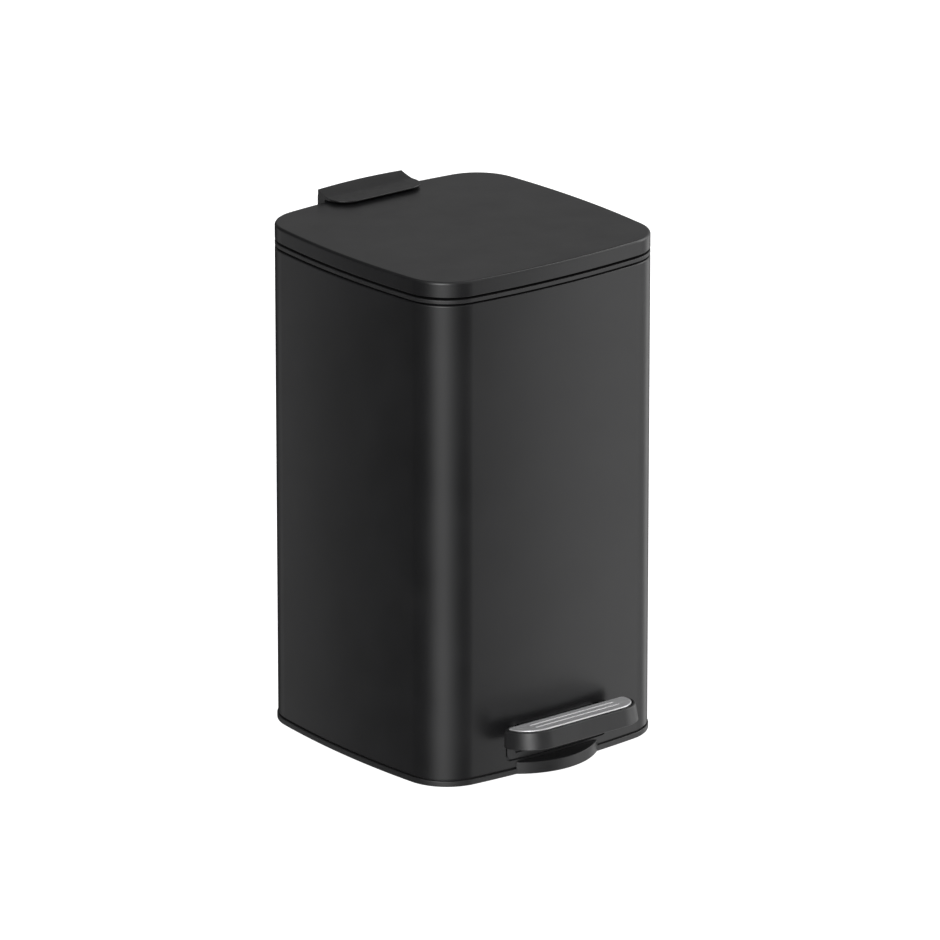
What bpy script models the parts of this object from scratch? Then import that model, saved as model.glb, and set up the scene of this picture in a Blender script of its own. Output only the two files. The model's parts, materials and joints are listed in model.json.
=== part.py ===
"""Pedal trash can: satin black rounded-square bin whose lid is lifted by a front pedal through a push rod.

Metres, +Z up, front towards -Y. The bin stands on Z = 0 with its bounding box centred on the Z axis.
Everything hangs from one empty, whose shift along Y centres the bin between pedal and hinge.
"""

from math import asin, atan2, cos, pi, radians, sin, sqrt

import bmesh
import bpy
from mathutils import Matrix, Vector

MM = 0.001

# Plan of the bin: a square with bowed sides and round corners.
HALF_WIDTH = 116 * MM
CORNER_RADIUS = 37.3 * MM
SIDE_RADIUS = 715 * MM
CORNER_STEPS = 8
SIDE_STEPS = 6

# Heights of the visible bands, from the floor up.
BASE_BOTTOM = 0.6 * MM
BASE_TOP = 5.2 * MM
SHELL_BOTTOM = 6.6 * MM
SHELL_TOP = 381.6 * MM
COLLAR_BOTTOM = 383.0 * MM
COLLAR_TOP = 386.0 * MM
LID_BOTTOM = 387.9 * MM
LID_TOP = 400.0 * MM
LID_EDGE_RADIUS = 3.4 * MM

SHEET = 0.6 * MM
GAP = 0.3 * MM

# Hinge behind the lid.
HINGE_Y = 121 * MM
HINGE_Z = 377 * MM
HINGE_PIN_RADIUS = 2.5 * MM
TAB_HALF_WIDTH = 42.2 * MM
TAB_FRONT_Y = 91 * MM
TAB_REAR_Y = 131 * MM
TAB_BOTTOM = 386 * MM
TAB_CREST = 407.5 * MM

# Linkage: the pedal lifts the rod, and the rod turns the crank on the lid.
LID_OPENING = radians(80)
CRANK_RADIUS = 15 * MM
CRANK_REST_ANGLE = -LID_OPENING / 2
ROD_Y = 107.6 * MM
ROD_RADIUS = 2 * MM
CRANK_PIN_RADIUS = 2 * MM
YOKE_Z = HINGE_Z + CRANK_RADIUS * sin(CRANK_REST_ANGLE)

# Pedal and lever, in the lever's own frame: origin on the pivot, lever straight along Y.
PIVOT_Y = -12 * MM
PIVOT_Z = 23 * MM
PEDAL_TILT = radians(6.4)
PLATE_HALF_LENGTH = 57 * MM
PLATE_FRONT = -139.4 * MM
PLATE_REAR = -113.4 * MM
PLATE_TOP = 8.6 * MM
PLATE_FRONT_RADIUS = 22 * MM
PLATE_REAR_RADIUS = 4 * MM
COVER_RIM = 2.6 * MM
COVER_FLARE = 1.3 * MM
COVER_HEIGHT = 14.5 * MM
LEVER_TOP = 5.1 * MM
LEVER_SHEET = 1.5 * MM
LEVER_REACH = 119.75 * MM
AXLE_RADIUS = 3 * MM

# Slot in the shell for the lever, and the nose of the base below it.
SLOT_HALF_WIDTH = 48 * MM
SLOT_BOTTOM = 13.6 * MM
SLOT_TOP = 40.4 * MM
NOSE_HALF_WIDTH = 40 * MM
NOSE_RADIUS = 62.8 * MM
NOSE_FRONT_Y = -129.4 * MM
NOSE_TOP = 10.2 * MM

FOOT_PLACE = 82 * MM
FOOT_RADIUS = 8 * MM

# Push rod's guides, and the screws and rivets of the back: places across (X) and heights.
GUIDE_HEIGHTS = (80 * MM, 230 * MM)
RIVET_X = 9 * MM
HOUSING_SCREW_X = 20 * MM
HOUSING_SCREW_Z = 350 * MM
COVER_SCREW_X = 22 * MM
COVER_SCREW_Z = 393.6 * MM
SCREW_HEAD_RADIUS = 3.2 * MM
SCREW_HEAD_HEIGHT = 2.2 * MM

# Hinge housing behind the shell, knuckles on its pin, and the slots that let the linkage through.
HOUSING_HALF_WIDTH = 46 * MM
HOUSING_WALL = 5 * MM
KNUCKLE_INNER = 34 * MM
KNUCKLE_OUTER = 39.7 * MM
NOTCH_HALF_WIDTH = 9 * MM
SLOT_CUT = (-125 * MM, -100 * MM)

EAR_INNER = 15 * MM
EAR_OUTER = 19 * MM
UPSTAND_INSET = -1.6 * MM
LEVER_HALF_WIDTH = 13 * MM
PEDAL_SCREW_X = 30 * MM
BUMPER_X = 60 * MM
BUMPER_Y = 107 * MM
SEAL_OUTER = -12 * MM
SEAL_INNER = -14 * MM
SIDES = (("left", -1), ("right", 1))

PEDAL_MIDDLE = (PLATE_FRONT + PLATE_REAR) / 2
LEVER_LOW = LEVER_TOP - LEVER_SHEET
LEVER_END_Z = PIVOT_Z - LEVER_REACH * sin(PEDAL_TILT) + (LEVER_LOW + LEVER_SHEET / 2) * cos(PEDAL_TILT)
COVER_LOWEST = PLATE_TOP - COVER_HEIGHT
COVER_FOREMOST = PLATE_FRONT - COVER_RIM - COVER_FLARE
FRONT_REACH = -(PIVOT_Y + COVER_FOREMOST * cos(PEDAL_TILT) + COVER_LOWEST * sin(PEDAL_TILT))
BODY_Y = (FRONT_REACH - TAB_REAR_Y) / 2


# ---------------------------------------------------------------- scene, materials and placing

for old in list(bpy.data.objects):
    bpy.data.objects.remove(old)

parts = bpy.data.collections.new("pedal_trash_can")
cutters = bpy.data.collections.new("cutters")
cutters.hide_render = True
bpy.context.scene.collection.children.link(parts)
bpy.context.scene.collection.children.link(cutters)


def material(name, colour, roughness, metallic):
    made = bpy.data.materials.new(name)
    made.use_nodes = True
    shader = made.node_tree.nodes["Principled BSDF"]
    shader.inputs["Base Color"].default_value = (*colour, 1)
    shader.inputs["Roughness"].default_value = roughness
    shader.inputs["Metallic"].default_value = metallic
    made.diffuse_color = (*colour, 1)
    return made


SATIN_BLACK = material("satin_black_steel", (0.022, 0.022, 0.023), 0.38, 0.0)
BLACK_PLASTIC = material("black_plastic", (0.018, 0.018, 0.019), 0.5, 0.0)
GREY_PLASTIC = material("grey_plastic", (0.16, 0.16, 0.17), 0.55, 0.0)
BRUSHED_STEEL = material("brushed_steel", (0.45, 0.45, 0.46), 0.32, 1.0)
ZINC_STEEL = material("zinc_plated_steel", (0.52, 0.53, 0.55), 0.4, 1.0)
RUBBER = material("black_rubber", (0.015, 0.015, 0.015), 0.8, 0.0)
NYLON = material("natural_nylon", (0.62, 0.6, 0.55), 0.5, 0.0)


def axis_empty(name, y, z, parent, tilt=0.0):
    empty = bpy.data.objects.new(name, None)
    parts.objects.link(empty)
    empty.location = (0, y, z)
    empty.rotation_euler = (tilt, 0, 0)
    empty.parent = parent
    return empty


body_axis = axis_empty("body_axis", BODY_Y, 0, None)
lid_axis = axis_empty("lid_axis", HINGE_Y, HINGE_Z, body_axis)
pedal_axis = axis_empty("pedal_axis", PIVOT_Y, PIVOT_Z, body_axis, tilt=-PEDAL_TILT)
rod_axis = axis_empty("rod_axis", ROD_Y, 0, body_axis)


def place(mesh, name, look, frame):
    """Puts a mesh under an empty. Lid and rod meshes are drawn on the body, so they move to their origin."""
    if look:
        mesh.materials.clear()
        mesh.materials.append(look)
    obj = bpy.data.objects.new(name, mesh)
    (parts if look else cutters).objects.link(obj)
    obj.parent = frame
    if frame in (lid_axis, rod_axis):
        mesh.transform(Matrix.Translation(-frame.location))
    mesh.shade_smooth()
    mesh.set_sharp_from_angle(angle=radians(35))
    return obj


def combine(obj, operation, mesh):
    """Cuts from an object, joins to it or keeps what it shares with a mesh, by an exact Boolean."""
    tool = place(mesh, obj.name + "_tool", None, obj.parent)
    tool.hide_render = True
    tool.display_type = "WIRE"
    modifier = obj.modifiers.new(operation.lower(), "BOOLEAN")
    modifier.operation = operation
    modifier.object = tool


def cut(obj, *meshes):
    for mesh in meshes:
        combine(obj, "DIFFERENCE", mesh)


def join(obj, *meshes):
    for mesh in meshes:
        combine(obj, "UNION", mesh)


# ---------------------------------------------------------------- shapes


def as_mesh(bm):
    mesh = bpy.data.meshes.new("shape")
    bm.to_mesh(mesh)
    bm.free()
    return mesh


def finished(bm):
    bmesh.ops.recalc_face_normals(bm, faces=bm.faces[:])
    return as_mesh(bm)


def arc(centre_x, centre_y, radius, start, end, steps):
    angles = [start + (end - start) * step / steps for step in range(steps + 1)]
    return [(centre_x + radius * cos(angle), centre_y + radius * sin(angle)) for angle in angles]


def bin_outline(offset):
    """The bin's plan, grown or shrunk by an offset: four bowed sides joined by four round corners."""
    bow = SIDE_RADIUS - HALF_WIDTH
    centre = (sqrt(2 * (SIDE_RADIUS - CORNER_RADIUS) ** 2 - bow**2) - bow) / 2
    meet = atan2(centre, centre + bow)
    quarter = arc(-bow, 0, SIDE_RADIUS + offset, -meet, meet, SIDE_STEPS)[:-1]
    quarter += arc(centre, centre, CORNER_RADIUS + offset, meet, pi / 2 - meet, CORNER_STEPS)[:-1]
    points = []
    for turn in range(4):
        spin = Matrix.Rotation(turn * pi / 2, 2)
        points += [spin @ Vector(point) for point in quarter]
    return points


def swept(section, close=False, cap=False):
    """Extrudes the bin's outline through a section of (offset, z) points: an open skin or a closed ring."""
    bm = bmesh.new()
    ring = [bm.verts.new((x, y, section[0][1])) for x, y in bin_outline(section[0][0])]
    first = [bm.edges.new((ring[index - 1], ring[index])) for index in range(len(ring))]
    if cap:
        bm.faces.new(ring)
    edges = first
    for offset, z in section[1:]:
        made = bmesh.ops.extrude_edge_only(bm, edges=edges)["geom"]
        edges = [item for item in made if isinstance(item, bmesh.types.BMEdge) and item.is_boundary]
        above = {vert for edge in edges for vert in edge.verts}
        follow = {}
        for vert in above:
            for edge in vert.link_edges:
                if edge.other_vert(vert) not in above:
                    follow[edge.other_vert(vert)] = vert
        ring = [follow[vert] for vert in ring]
        for vert, (x, y) in zip(ring, bin_outline(offset)):
            vert.co = (x, y, z)
    if close:
        bmesh.ops.bridge_loops(bm, edges=first + edges)
        return finished(bm)
    bmesh.ops.recalc_face_normals(bm, faces=bm.faces[:])
    steepest = min(bm.faces, key=lambda face: abs(face.normal.z))
    if steepest.normal.dot(steepest.calc_center_median() * Vector((1, 1, 0))) < 0:
        bmesh.ops.reverse_faces(bm, faces=bm.faces[:])
    return as_mesh(bm)


def prism(points, low, high):
    """A solid between two heights whose plan is a closed list of (x, y) points."""
    bm = bmesh.new()
    face = bm.faces.new([bm.verts.new((x, y, low)) for x, y in points])
    made = bmesh.ops.extrude_face_region(bm, geom=[face])["geom"]
    rise = [item for item in made if isinstance(item, bmesh.types.BMVert)]
    bmesh.ops.translate(bm, verts=rise, vec=(0, 0, high - low))
    return finished(bm)


def slab(offset, low, high):
    return prism(bin_outline(offset), low, high)


def upright(points, left, right):
    """A solid across X whose side view is a closed list of (y, z) points."""
    mesh = prism(points, left, right)
    mesh.transform(Matrix(((0, 0, 1, 0), (1, 0, 0, 0), (0, 1, 0, 0), (0, 0, 0, 1))))
    return mesh


def fronted(points, near, far):
    """A solid along Y whose front view is a closed list of (x, z) points."""
    mesh = prism(points, -far, -near)
    mesh.transform(Matrix(((1, 0, 0, 0), (0, 0, -1, 0), (0, 1, 0, 0), (0, 0, 0, 1))))
    return mesh


def box(x_span, y_span, z_span):
    spans = (x_span, y_span, z_span)
    middle = Vector([(low + high) / 2 for low, high in spans])
    size = Matrix.Diagonal([high - low for low, high in spans]).to_4x4()
    bm = bmesh.new()
    bmesh.ops.create_cube(bm, size=1, matrix=Matrix.Translation(middle) @ size)
    return finished(bm)


def rod(axis, start, end, across, radius, segments=24):
    """A cylinder along an axis, from start to end, through the point given by its other two coordinates."""
    turns = {"x": Matrix.Rotation(pi / 2, 4, "Y"), "y": Matrix.Rotation(pi / 2, 4, "X"), "z": Matrix()}
    middle = list(across)
    middle.insert("xyz".index(axis), (start + end) / 2)
    bm = bmesh.new()
    bmesh.ops.create_cone(bm, cap_ends=True, segments=segments, radius1=radius, radius2=radius,
                          depth=end - start, matrix=Matrix.Translation(middle) @ turns[axis])
    return finished(bm)


def across_pair(spread, height, start, end, radius):
    """Cutters for a left and a right hole along Y."""
    return [rod("y", start, end, (sign * spread, height), radius, 16) for _, sign in SIDES]


def mirrored_span(sign, inner, outer):
    """The span along X between two distances from the middle, on one side."""
    return sorted((sign * inner, sign * outer))


def round_box_plan(x_span, y_span, radius, steps=5):
    (x0, x1), (y0, y1) = x_span, y_span
    points = arc(x1 - radius, y1 - radius, radius, 0, pi / 2, steps)
    points += arc(x0 + radius, y1 - radius, radius, pi / 2, pi, steps)
    points += arc(x0 + radius, y0 + radius, radius, pi, 3 * pi / 2, steps)
    points += arc(x1 - radius, y0 + radius, radius, 3 * pi / 2, 2 * pi, steps)
    return points


def band(inner, outer, low, high):
    """A rectangular section of (offset, z) points, for a band that follows the bin's outline."""
    return [(outer, low), (outer, high), (inner, high), (inner, low)]


def solidify(obj, thickness):
    modifier = obj.modifiers.new("wall", "SOLIDIFY")
    modifier.thickness = thickness
    modifier.offset = -1
    modifier.use_even_offset = True


def bevel(obj, width, segments=2, angle=40):
    modifier = obj.modifiers.new("edges", "BEVEL")
    modifier.width = width
    modifier.segments = segments
    modifier.limit_method = "ANGLE"
    modifier.angle_limit = radians(angle)


# ---------------------------------------------------------------- fixed body


def rounded_slot(margin):
    half = SLOT_HALF_WIDTH + margin
    plan = round_box_plan((-half, half), (SLOT_BOTTOM - margin, SLOT_TOP + margin), 5 * MM + margin)
    return fronted(plan, *SLOT_CUT)


def make_shell():
    section = [
        (0, SHELL_BOTTOM),
        (0, SHELL_TOP - 1.0 * MM),
        (-0.3 * MM, SHELL_TOP - 0.3 * MM),
        (-1.0 * MM, SHELL_TOP),
        (-4.4 * MM, SHELL_TOP),
    ]
    shell = place(swept(section), "outer_shell", SATIN_BLACK, body_axis)
    solidify(shell, SHEET)
    cut(shell, rounded_slot(GAP))
    cut(shell, box((-NOTCH_HALF_WIDTH, NOTCH_HALF_WIDTH), (105 * MM, 120 * MM), (358 * MM, 390 * MM)))
    cut(shell, *across_pair(HOUSING_SCREW_X, HOUSING_SCREW_Z, 110 * MM, 120 * MM, 2.1 * MM))
    for z in GUIDE_HEIGHTS:
        cut(shell, *across_pair(RIVET_X, z, 110 * MM, 120 * MM, 1.8 * MM))


def make_collar():
    """The collar rests on the shell's rim, reaches down inside it, and carries the bucket on its shelf."""
    web, shelf, skirt = SHELL_TOP + GAP, 383.9 * MM, 366 * MM
    section = [
        (0, COLLAR_BOTTOM),
        (0, COLLAR_TOP),
        (-9 * MM, COLLAR_TOP),
        (-9 * MM, shelf),
        (-18.5 * MM, shelf),
        (-18.5 * MM, web),
        (-7 * MM, web),
        (-7 * MM, skirt),
        (-5.3 * MM, skirt),
        (-5.3 * MM, web),
        (-1.5 * MM, web),
        (-1.5 * MM, COLLAR_BOTTOM),
    ]
    collar = place(swept(section, close=True), "rim_collar", BLACK_PLASTIC, body_axis)
    cut(collar, box((-NOTCH_HALF_WIDTH, NOTCH_HALF_WIDTH), (100.9 * MM, 120 * MM), (360 * MM, 390 * MM)))


def nose_plan():
    root = -104 * MM
    spread = asin(NOSE_HALF_WIDTH / NOSE_RADIUS)
    front = arc(0, NOSE_FRONT_Y + NOSE_RADIUS, NOSE_RADIUS, 1.5 * pi - spread, 1.5 * pi + spread, 14)
    return [(-NOSE_HALF_WIDTH, root), *front, (NOSE_HALF_WIDTH, root)]


def make_base():
    """A tray with a ring below the shell, an upstand inside it, a nose in front and two ears for the axle."""
    base = place(slab(0.8 * MM, BASE_BOTTOM, BASE_TOP), "base_tray", BLACK_PLASTIC, body_axis)
    join(base, prism(nose_plan(), BASE_BOTTOM, NOSE_TOP))
    cut(base, slab(GAP, BASE_TOP, 12 * MM))
    join(base, slab(UPSTAND_INSET, 4 * MM, 20 * MM))
    cut(base, slab(2 * UPSTAND_INSET, 3.6 * MM, 21 * MM))
    for _, sign in SIDES:
        ear = [(-24 * MM, 3 * MM)]
        ear += arc(PIVOT_Y, PIVOT_Z, 7 * MM, pi, 0, 10)
        ear += [(0, 3 * MM)]
        join(base, upright(ear, *mirrored_span(sign, EAR_INNER, EAR_OUTER)))
    cut(base, rod("x", -21 * MM, 21 * MM, (PIVOT_Y, PIVOT_Z), AXLE_RADIUS + GAP))
    for x in (-FOOT_PLACE, FOOT_PLACE):
        for y in (-FOOT_PLACE, FOOT_PLACE):
            cut(base, rod("z", 0, 2.2 * MM, (x, y), FOOT_RADIUS + GAP))


def make_feet():
    for depth, y in (("front", -FOOT_PLACE), ("rear", FOOT_PLACE)):
        for side, x in (("left", -FOOT_PLACE), ("right", FOOT_PLACE)):
            foot = rod("z", 0, 1.9 * MM, (x, y), FOOT_RADIUS, 32)
            bevel(place(foot, f"foot_{depth}_{side}", RUBBER, body_axis), 0.4 * MM)


def make_slot_frame():
    """The moulded frame lines the slot below and at both sides, flush with the bowed shell."""
    ring = band(-3 * MM, -0.15 * MM, 5 * MM, 60 * MM)
    frame = place(swept(ring, close=True), "pedal_slot_frame", BLACK_PLASTIC, body_axis)
    combine(frame, "INTERSECT", rounded_slot(0))
    opening = round_box_plan((-41 * MM, 41 * MM), (17.7 * MM, 52 * MM), 2 * MM)
    cut(frame, fronted(opening, *SLOT_CUT))
    # The upstand of the base stands behind the lower edge of the frame.
    cut(frame, slab(UPSTAND_INSET + GAP, 5 * MM, 20.3 * MM))


def make_bucket():
    """The lift-out bucket: tapered walls, a round foot and a flange that hangs on the collar."""
    section = [
        (-9.4 * MM, 384.3 * MM),
        (-19.2 * MM, 384.3 * MM),
        (-20 * MM, 383.4 * MM),
        (-26.4 * MM, 60 * MM),
        (-32 * MM, 52 * MM),
    ]
    mesh = swept(section[::-1], cap=True)
    bucket = place(mesh, "inner_bucket", GREY_PLASTIC, body_axis)
    solidify(bucket, 1.6 * MM)
    cut(bucket, box((-11 * MM, 11 * MM), (100.5 * MM, 120 * MM), (370 * MM, 390 * MM)))


def make_hinge_housing():
    """A moulded box behind the shell whose two ears carry the hinge pin."""
    half, low, box_top = HOUSING_HALF_WIDTH, 338 * MM, 361 * MM
    plan = round_box_plan((-half, half), (116.6 * MM, 129.6 * MM), 3 * MM, 4)
    housing = place(prism(plan, low, box_top), "hinge_housing", BLACK_PLASTIC, body_axis)
    cut(housing, box((-40 * MM, 40 * MM), (119.4 * MM, 127.2 * MM), (low + 3 * MM, box_top + 1 * MM)))
    for _, sign in SIDES:
        ear = [(117.2 * MM, 345 * MM), (126 * MM, 345 * MM)]
        ear += arc(HINGE_Y, HINGE_Z, 5 * MM, 0, pi, 10)
        ear += [(116.6 * MM, 372 * MM)]
        join(housing, upright(ear, *mirrored_span(sign, half - HOUSING_WALL, half)))
    cut(housing, rod("x", -half - 1 * MM, half + 1 * MM, (HINGE_Y, HINGE_Z), HINGE_PIN_RADIUS + GAP))
    cut(housing, *across_pair(HOUSING_SCREW_X, HOUSING_SCREW_Z, 115 * MM, 121 * MM, 1.9 * MM))


def make_rear_screws(name, spread, z, head_y, tip_y, frame):
    """A pair of pan-head screws along Y, their heads inside and their tips to the rear."""
    for side, sign in SIDES:
        across = (sign * spread, z)
        head = rod("y", head_y, head_y + SCREW_HEAD_HEIGHT, across, SCREW_HEAD_RADIUS, 20)
        screw = place(head, f"{name}_{side}", ZINC_STEEL, frame)
        join(screw, rod("y", head_y + 2 * MM, tip_y, across, 1.6 * MM, 16))


def make_rod_guides():
    for level, z in zip(("lower", "upper"), GUIDE_HEIGHTS):
        plan = round_box_plan((-13 * MM, 13 * MM), (102.6 * MM, 114.7 * MM), 2.5 * MM, 4)
        guide = place(prism(plan, z - 5 * MM, z + 5 * MM), f"rod_guide_{level}", NYLON, body_axis)
        cut(guide, rod("z", z - 6 * MM, z + 6 * MM, (0, ROD_Y), ROD_RADIUS + 0.35 * MM))
        cut(guide, *across_pair(RIVET_X, z, 110.2 * MM, 116 * MM, 1.7 * MM))


def make_guide_rivets():
    """Rivets hold the guides from outside the shell: low domed heads on its back."""
    for level, z in zip(("lower", "upper"), GUIDE_HEIGHTS):
        for side, sign in SIDES:
            across = (sign * RIVET_X, z)
            head = rod("y", 116.3 * MM, 117.3 * MM, across, 2.8 * MM, 16)
            rivet = place(head, f"guide_rivet_{level}_{side}", ZINC_STEEL, body_axis)
            join(rivet, rod("y", 110.6 * MM, 116.5 * MM, across, 1.4 * MM, 16))


def make_axle():
    axle = rod("x", -22 * MM, 22 * MM, (PIVOT_Y, PIVOT_Z), AXLE_RADIUS)
    axle = place(axle, "pedal_axle", ZINC_STEEL, body_axis)
    bevel(axle, 0.4 * MM, 1)
    for side, sign in SIDES:
        clip_span = mirrored_span(sign, EAR_OUTER + 0.4 * MM, EAR_OUTER + 1.6 * MM)
        disc = rod("x", *clip_span, (PIVOT_Y, PIVOT_Z), 5.5 * MM)
        clip = place(disc, f"axle_clip_{side}", ZINC_STEEL, body_axis)
        cut(clip, rod("x", -23 * MM, 23 * MM, (PIVOT_Y, PIVOT_Z), AXLE_RADIUS + 0.15 * MM))


def make_hinge_pin():
    pin = rod("x", -45.6 * MM, 45.6 * MM, (HINGE_Y, HINGE_Z), HINGE_PIN_RADIUS)
    bevel(place(pin, "hinge_pin", ZINC_STEEL, body_axis), 0.4 * MM, 1)


# ---------------------------------------------------------------- pedal and lever, in the lever's frame


def pedal_plan(margin, steps=6):
    """The pedal seen from above: straight rear edge, and front corners with a large radius."""
    front, rear = PLATE_FRONT - margin, PLATE_REAR + margin
    half, big, small = PLATE_HALF_LENGTH + margin, PLATE_FRONT_RADIUS + margin, PLATE_REAR_RADIUS + margin
    points = arc(half - small, rear - small, small, 0, pi / 2, steps)
    points += arc(-half + small, rear - small, small, pi / 2, pi, steps)
    points += arc(-half + big, front + big, big, pi, 1.5 * pi, 2 * steps)
    points += arc(half - big, front + big, big, 1.5 * pi, 2 * pi, 2 * steps)
    return points


def make_cover():
    """The moulded block round the plate: flared sides, hollow below for the lever, recessed above."""
    top, bottom = PLATE_TOP - GAP, COVER_LOWEST
    section = (
        (COVER_RIM + COVER_FLARE, bottom),
        (COVER_RIM, top - 1.4 * MM),
        (COVER_RIM - 0.4 * MM, top - 0.4 * MM),
        (COVER_RIM - 1.4 * MM, top),
    )
    bm = bmesh.new()
    loops = []
    for margin, z in section:
        loops.append([bm.verts.new((x, y, z)) for x, y in pedal_plan(margin)])
    for lower, upper in zip(loops, loops[1:]):
        for index in range(len(lower)):
            bm.faces.new((lower[index - 1], lower[index], upper[index], upper[index - 1]))
    bm.faces.new(loops[0])
    bm.faces.new(loops[-1])
    cover = place(finished(bm), "pedal_cover", BLACK_PLASTIC, pedal_axis)
    cut(cover, prism(pedal_plan(0.6 * MM), bottom - 1 * MM, LEVER_TOP + GAP))
    cut(cover, prism(pedal_plan(GAP), PLATE_TOP - 1.3 * MM, PLATE_TOP + 1 * MM))
    throat = (PLATE_REAR - 3 * MM, PLATE_REAR + 8 * MM)
    cut(cover, box((-37.4 * MM, 37.4 * MM), throat, (bottom - 1 * MM, LEVER_TOP + GAP)))
    for x in (-PEDAL_SCREW_X, PEDAL_SCREW_X):
        cut(cover, rod("z", 3 * MM, 7 * MM, (x, PEDAL_MIDDLE), 1.8 * MM, 16))


def make_insert():
    """The steel plate, with two raised ribs along it."""
    plate = prism(pedal_plan(0), PLATE_TOP - 1 * MM, PLATE_TOP)
    insert = place(plate, "pedal_insert", BRUSHED_STEEL, pedal_axis)
    for y in (PEDAL_MIDDLE - 2.6 * MM, PEDAL_MIDDLE + 2.6 * MM):
        plan = round_box_plan((-42 * MM, 42 * MM), (y - 1 * MM, y + 1 * MM), 0.95 * MM, 3)
        join(insert, prism(plan, PLATE_TOP - 0.5 * MM, PLATE_TOP + 0.5 * MM))


def make_lever():
    """A pressed steel lever: channel from the rod to the slot, flat wide plate under the pedal cover."""
    wide, narrow = 36 * MM, LEVER_HALF_WIDTH
    front, rear = PLATE_FRONT + 6 * MM, LEVER_REACH + 4.6 * MM
    plan = [(-wide, -90 * MM), (-wide, front), (wide, front), (wide, -90 * MM), (narrow, -70 * MM)]
    plan += [(narrow, rear - 8 * MM), (6 * MM, rear), (-6 * MM, rear), (-narrow, rear - 8 * MM)]
    plan.append((-narrow, -70 * MM))
    lever = place(prism(plan, LEVER_LOW, LEVER_TOP), "pedal_lever", ZINC_STEEL, pedal_axis)
    for _, sign in SIDES:
        flange = [(-66 * MM, LEVER_LOW + 0.5 * MM), (-62 * MM, 0), (-8 * MM, -5 * MM), (8 * MM, -5 * MM)]
        flange += [(104 * MM, 0), (108 * MM, LEVER_LOW + 0.5 * MM)]
        join(lever, upright(flange, *mirrored_span(sign, narrow - LEVER_SHEET, narrow)))
    cut(lever, rod("x", -narrow - 1 * MM, narrow + 1 * MM, (0, 0), 4.6 * MM))
    cut(lever, rod("z", 0, 8 * MM, (0, LEVER_REACH), 3.2 * MM))
    for x in (-PEDAL_SCREW_X, PEDAL_SCREW_X):
        cut(lever, rod("z", 0, 8 * MM, (x, PEDAL_MIDDLE), 1.9 * MM, 16))


def make_pedal_screws():
    head_top = LEVER_LOW - GAP
    for side, sign in SIDES:
        at = (sign * PEDAL_SCREW_X, PEDAL_MIDDLE)
        head = rod("z", head_top - 2 * MM, head_top, at, SCREW_HEAD_RADIUS, 20)
        screw = place(head, f"pedal_screw_{side}", ZINC_STEEL, pedal_axis)
        join(screw, rod("z", head_top - 0.2 * MM, 6.7 * MM, at, 1.5 * MM, 16))


def make_bushes():
    for side, sign in SIDES:
        inner, collar, outer = LEVER_HALF_WIDTH - 1.8 * MM, LEVER_HALF_WIDTH + GAP, EAR_INNER - 0.4 * MM
        sleeve = rod("x", *mirrored_span(sign, inner, outer), (0, 0), 4.3 * MM)
        bush = place(sleeve, f"lever_bush_{side}", NYLON, pedal_axis)
        join(bush, rod("x", *mirrored_span(sign, collar, outer), (0, 0), 6 * MM))
        cut(bush, rod("x", -16 * MM, 16 * MM, (0, 0), AXLE_RADIUS + GAP))


# ---------------------------------------------------------------- push rod


def make_push_rod():
    push = rod("z", LEVER_END_Z - 7 * MM, YOKE_Z - 11 * MM, (0, ROD_Y), ROD_RADIUS)
    place(push, "push_rod", ZINC_STEEL, rod_axis)
    for level, low in (("lower", LEVER_END_Z - 4.55 * MM), ("upper", LEVER_END_Z + 1.55 * MM)):
        hexagon = rod("z", low, low + 3 * MM, (0, ROD_Y), 4 * MM, 6)
        nut = place(hexagon, f"rod_nut_{level}", ZINC_STEEL, rod_axis)
        cut(nut, rod("z", 0, 60 * MM, (0, ROD_Y), ROD_RADIUS + 0.15 * MM))


def make_yoke():
    """The yoke's level slot lets the crank pin swing while the rod only rises."""
    swing = CRANK_RADIUS * (1 - cos(CRANK_REST_ANGLE))
    middle = HINGE_Y - CRANK_RADIUS + swing / 2
    reach = swing / 2 + CRANK_PIN_RADIUS + GAP
    wall, half_height = 2.2 * MM, 5.2 * MM
    outline = round_box_plan((middle - reach - wall, middle + reach + wall),
                             (YOKE_Z - half_height, YOKE_Z + half_height), 2 * MM)
    yoke = place(upright(outline, -1.5 * MM, 1.5 * MM), "rod_yoke", NYLON, rod_axis)
    join(yoke, rod("z", YOKE_Z - 19 * MM, YOKE_Z - 4 * MM, (0, ROD_Y), 4 * MM))
    slot = round_box_plan((middle - reach, middle + reach), (YOKE_Z - 2.6 * MM, YOKE_Z + 2.6 * MM), 2.2 * MM)
    cut(yoke, upright(slot, -5 * MM, 5 * MM))
    cut(yoke, rod("z", YOKE_Z - 20 * MM, YOKE_Z - 10.6 * MM, (0, ROD_Y), ROD_RADIUS + 0.15 * MM))


# ---------------------------------------------------------------- lid


def make_lid():
    """The pressed lid: a flat top, a round edge and a lip turned in at the bottom."""
    section = arc(-LID_EDGE_RADIUS, LID_TOP - LID_EDGE_RADIUS, LID_EDGE_RADIUS, pi / 2, 0, 4)
    section += [(0, LID_BOTTOM + 0.4 * MM), (-0.4 * MM, LID_BOTTOM), (-3.6 * MM, LID_BOTTOM)]
    lid = place(swept(section, cap=True), "lid_shell", SATIN_BLACK, lid_axis)
    solidify(lid, SHEET)
    cut(lid, *across_pair(COVER_SCREW_X, COVER_SCREW_Z, 110 * MM, 120 * MM, 1.9 * MM))


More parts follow.
